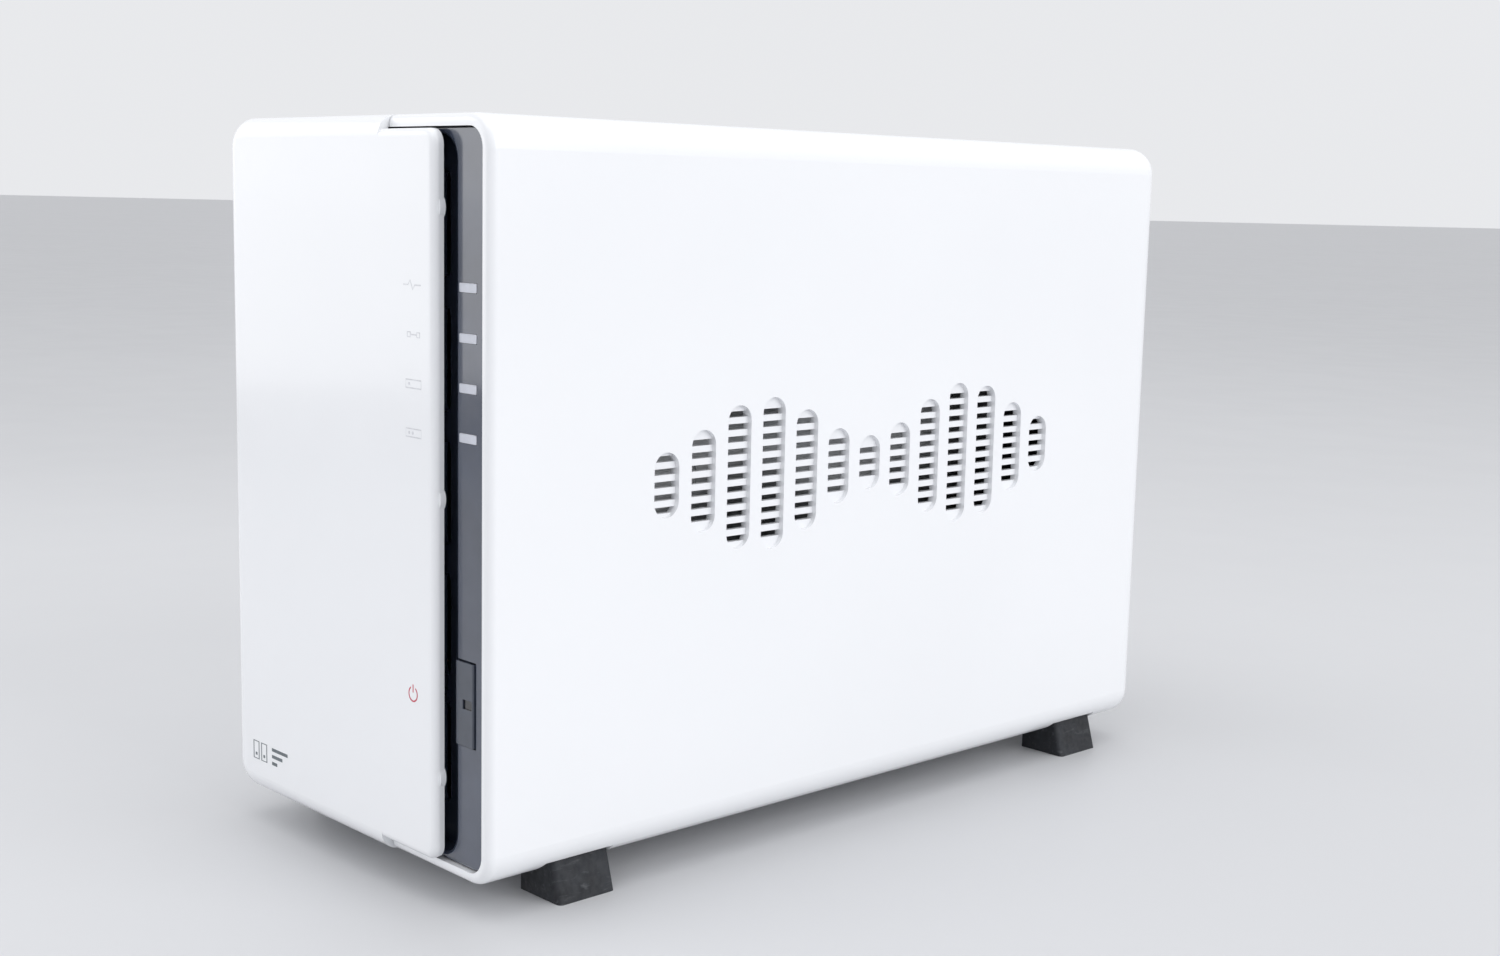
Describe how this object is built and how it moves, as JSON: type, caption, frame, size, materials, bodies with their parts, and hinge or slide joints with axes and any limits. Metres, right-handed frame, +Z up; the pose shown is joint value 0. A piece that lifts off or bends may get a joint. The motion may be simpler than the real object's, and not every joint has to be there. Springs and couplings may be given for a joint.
{
  "type": "network attached storage",
  "caption": "Desktop network storage box on rubber feet: slide-off side cover, front power button and status lights, internal hard drives, rear fan and ports.",
  "frame": {"origin": "centre of the footprint, on the standing surface", "axes": "front panel faces -Y, +Z up, +X to the right seen from the front"},
  "size_m": [0.1, 0.2256, 0.165],
  "materials": {
    "white_case": "gloss",
    "bezel_plastic": "gloss",
    "button_plastic": "satin",
    "frosted_plastic": "frosted",
    "lens_plastic": "gloss",
    "black_plastic": "matte",
    "white_plastic": "satin",
    "foot_rubber": "matte",
    "circuit_board": "satin solder mask",
    "sheet_steel": "zinc plated",
    "plate_steel": "satin paint",
    "screw_steel": "nickel plated",
    "port_steel": "bright tin plate",
    "cast_aluminium": "as cast",
    "lid_steel": "brushed",
    "sink_aluminium": "anodised",
    "chip_resin": "matte",
    "can_aluminium": "bright",
    "ferrite": "matte",
    "cell_steel": "polished",
    "winding_copper": "enamelled",
    "bearing_bronze": "sintered",
    "cable_sleeve": "matte"
  },
  "bodies": {
    "base": {"back_plate": "plate_steel", "backplane_slot": "black_plastic", "base_shell": "white_case", "board_headers": "white_plastic", "capacitors": "can_aluminium", "chassis_frame": "sheet_steel", "coin_cell": "cell_steel", "coin_cell_holder": "black_plastic", "dc_jack": "black_plastic", "drive_cage": "sheet_steel", "fan_bearing": "bearing_bronze", "fan_cable": "cable_sleeve", "fan_frame": "black_plastic", "fan_screws": "screw_steel", "fan_stator": "winding_copper", "foot_front_left": "foot_rubber", "foot_rear_left": "foot_rubber", "frame_screws": "screw_steel", "front_bezel": "bezel_plastic", "front_board": "circuit_board", "front_board_socket": "white_plastic", "front_cable": "cable_sleeve", "heat_sink": "sink_aluminium", "indicator_leds": "frosted_plastic", "lan_port": "port_steel", "light_pipe_disk_1": "frosted_plastic", "light_pipe_disk_2": "frosted_plastic", "light_pipe_lan": "frosted_plastic", "light_pipe_status": "frosted_plastic", "mainboard": "circuit_board", "mainboard_screws": "screw_steel", "memory_chips": "chip_resin", "power_inductors": "ferrite", "power_switch": "black_plastic", "processor": "chip_resin", "reset_switch": "black_plastic", "sata_backplane": "circuit_board", "sata_sockets": "black_plastic", "usb_port_1": "port_steel", "usb_port_2": "port_steel", "usb_tongues": "black_plastic"},
    "cover": {"side_cover": "white_case", "cover_screws": "screw_steel", "foot_front_right": "foot_rubber", "foot_rear_right": "foot_rubber"},
    "power_key": {"power_button": "button_plastic", "power_lens": "lens_plastic", "power_switch_plunger": "white_plastic"},
    "reset_key": {"reset_button": "white_plastic"},
    "rotor": {"fan_rotor": "black_plastic"},
    "drive_1": {"drive_1_base": "cast_aluminium", "drive_1_lid": "lid_steel", "drive_1_board": "circuit_board", "drive_1_connector": "black_plastic", "drive_1_screws": "screw_steel"},
    "drive_2": {"drive_2_base": "cast_aluminium", "drive_2_lid": "lid_steel", "drive_2_board": "circuit_board", "drive_2_connector": "black_plastic", "drive_2_screws": "screw_steel"}
  },
  "joints": [
    {"name": "cover_slide", "type": "slide", "parent": "base", "child": "cover", "axis": [0, 1, 0], "range_m": [0, 0.19]},
    {"name": "power_press", "type": "slide", "parent": "base", "child": "power_key", "axis": [0, 1, 0], "range_m": [0, 0.0007], "stiffness_N_per_m": 2500, "springref_m": -0.0003},
    {"name": "reset_press", "type": "slide", "parent": "base", "child": "reset_key", "axis": [0, -1, 0], "range_m": [0, 0.0006], "stiffness_N_per_m": 2500, "springref_m": -0.0003},
    {"name": "fan_spin", "type": "hinge", "parent": "base", "child": "rotor", "pos_m": [0, 0.095, 0.105], "axis": [0, 1, 0], "continuous": true},
    {"name": "drive_1_slide", "type": "slide", "parent": "base", "child": "drive_1", "axis": [0, 1, 0], "range_m": [0, 0.008]},
    {"name": "drive_2_slide", "type": "slide", "parent": "base", "child": "drive_2", "axis": [0, 1, 0], "range_m": [0, 0.008]}
  ]
}
